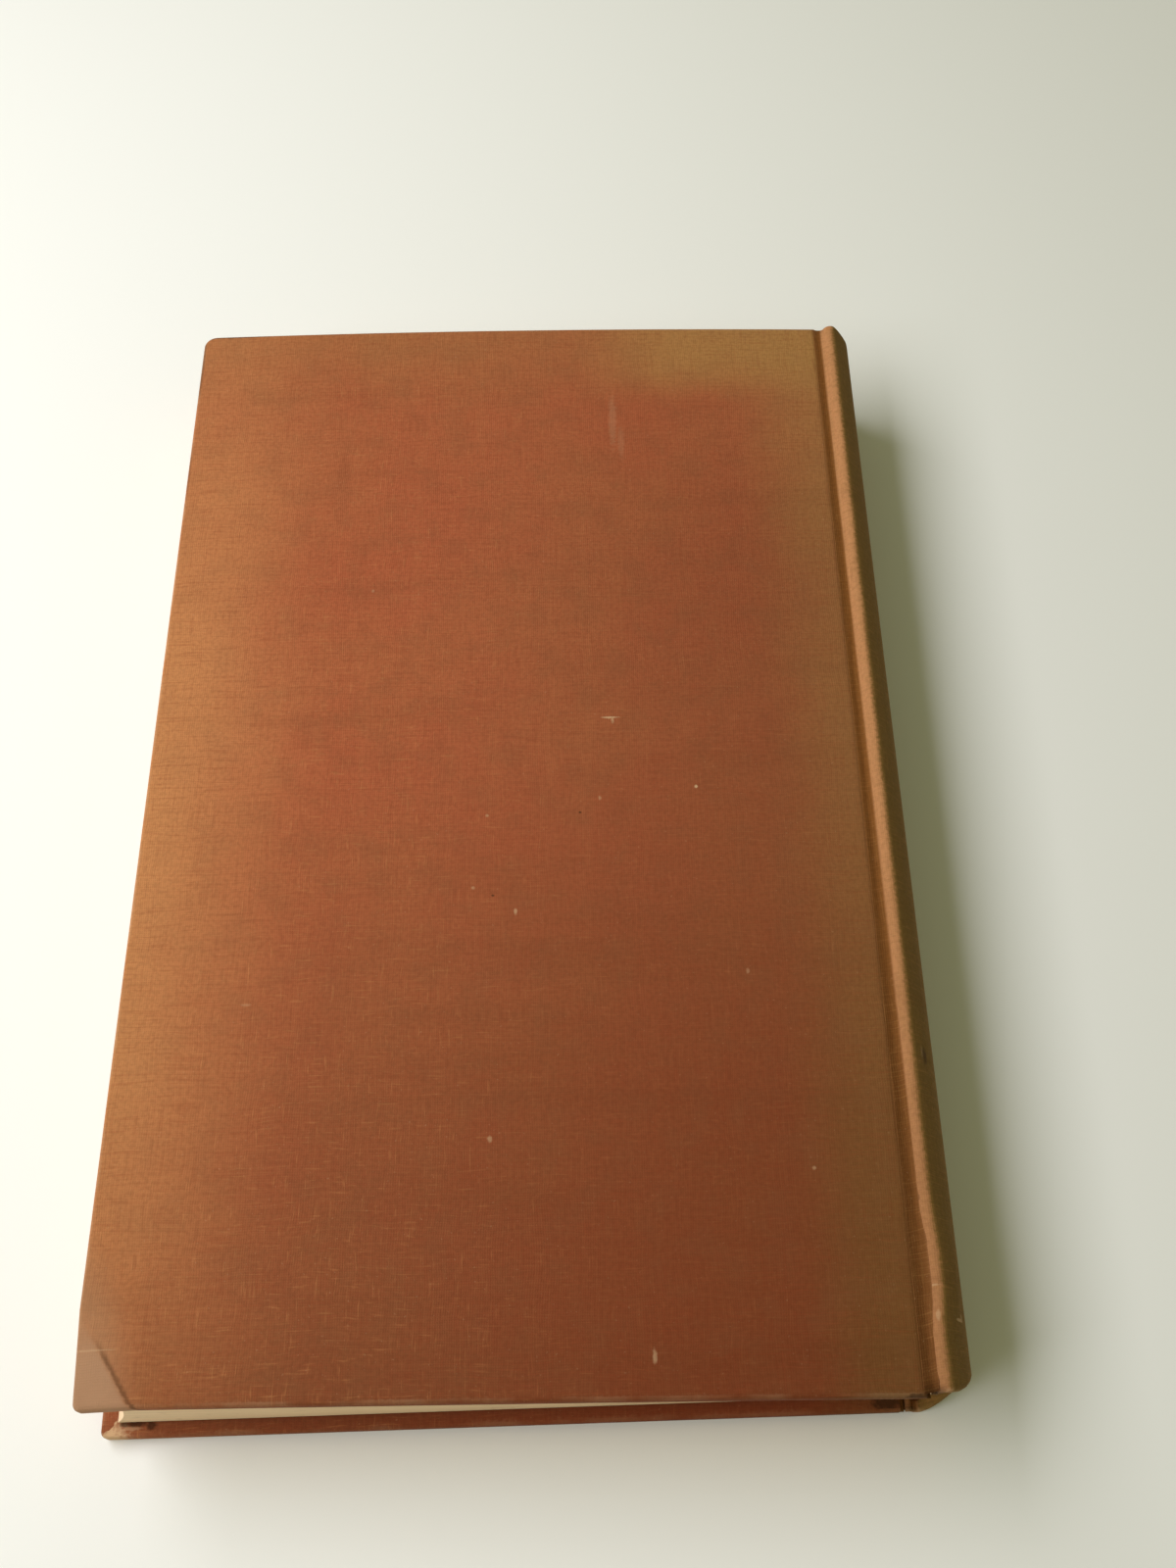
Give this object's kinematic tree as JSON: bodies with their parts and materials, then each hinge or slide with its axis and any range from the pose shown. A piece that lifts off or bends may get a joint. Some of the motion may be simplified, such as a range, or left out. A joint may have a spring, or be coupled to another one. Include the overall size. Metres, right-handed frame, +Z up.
{
  "type": "hardback book",
  "caption": "Old cloth-bound hardback book lying closed on its front cover, with a rounded hollow back, grooved joints and covers that open flat.",
  "frame": {"origin": "on the table, under the middle of the book's bounding box", "axes": "+X towards the spine, +Y towards the head, +Z up out of the back cover; the book lies on its front cover"},
  "size_m": [0.1466, 0.2244, 0.0263],
  "materials": {
    "book_cloth": "matte",
    "leaf_paper": "matte",
    "endpaper": "matte",
    "pulp_board": "matte",
    "mull_gauze": "matte",
    "kraft_paper": "matte"
  },
  "bodies": {
    "leaves": {"text_block": "leaf_paper", "front_flyleaf": "endpaper", "back_flyleaf": "endpaper", "spine_mull": "mull_gauze", "spine_lining": "kraft_paper", "spine_inlay": "pulp_board", "spine_cloth": "book_cloth"},
    "back_cover": {"back_board": "pulp_board", "back_cover_cloth": "book_cloth", "back_pastedown": "endpaper"},
    "front_cover": {"front_board": "pulp_board", "front_cover_cloth": "book_cloth", "front_pastedown": "endpaper"}
  },
  "joints": [
    {"name": "back_cover_hinge", "type": "hinge", "parent": "leaves", "child": "back_cover", "pos_m": [0.06259, -0.1122, 0.0257], "axis": [0.0183, 0.9998, 0], "range_deg": [0, 180]},
    {"name": "front_cover_hinge", "type": "hinge", "parent": "leaves", "child": "front_cover", "pos_m": [0.06199, -0.11162, -0.00015], "axis": [0, -1, 0], "range_deg": [0, 180]}
  ]
}
